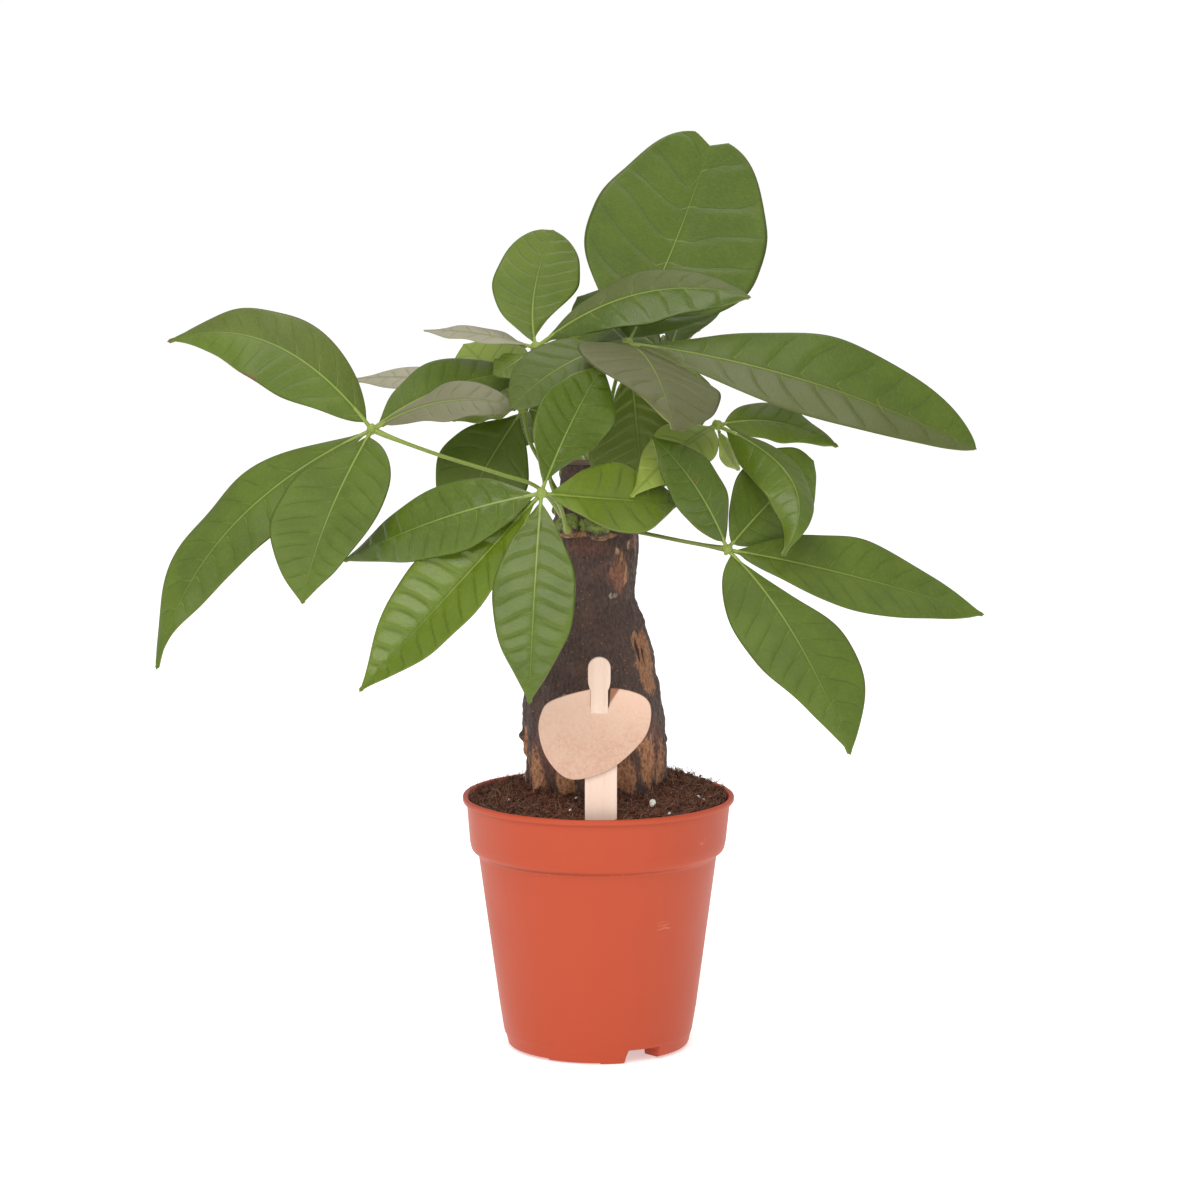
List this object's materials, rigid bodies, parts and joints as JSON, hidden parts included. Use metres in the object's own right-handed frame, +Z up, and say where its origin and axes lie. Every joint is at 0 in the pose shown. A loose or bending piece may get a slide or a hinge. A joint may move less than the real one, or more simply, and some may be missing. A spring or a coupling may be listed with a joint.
{
  "type": "potted money tree",
  "caption": "Small money tree with a stout cut-back trunk and palmate fronds, in a tapered nursery pot with a wooden label stick and a blank tag.",
  "frame": {"origin": "middle of the pot's flat underside, on the surface that the pot stands on", "axes": "+Z up; +Y away from the front, where the label is; +X to the right as seen from the front"},
  "size_m": [0.3607, 0.2268, 0.3998],
  "materials": {
    "pot_plastic": "satin",
    "potting_soil": "matte",
    "bark": "matte",
    "pale_wood": "matte",
    "card": "matte",
    "leaf": "satin"
  },
  "bodies": {
    "root": {"pot": "pot_plastic", "soil": "potting_soil", "trunk": "bark", "label_stick": "pale_wood", "label_tag": "card", "frond_left": "leaf", "frond_front": "leaf", "frond_right": "leaf", "frond_inner_right": "leaf", "frond_upper_left": "leaf", "frond_top": "leaf", "frond_back_left": "leaf", "frond_back_right": "leaf", "frond_back_low": "leaf"}
  },
  "joints": []
}
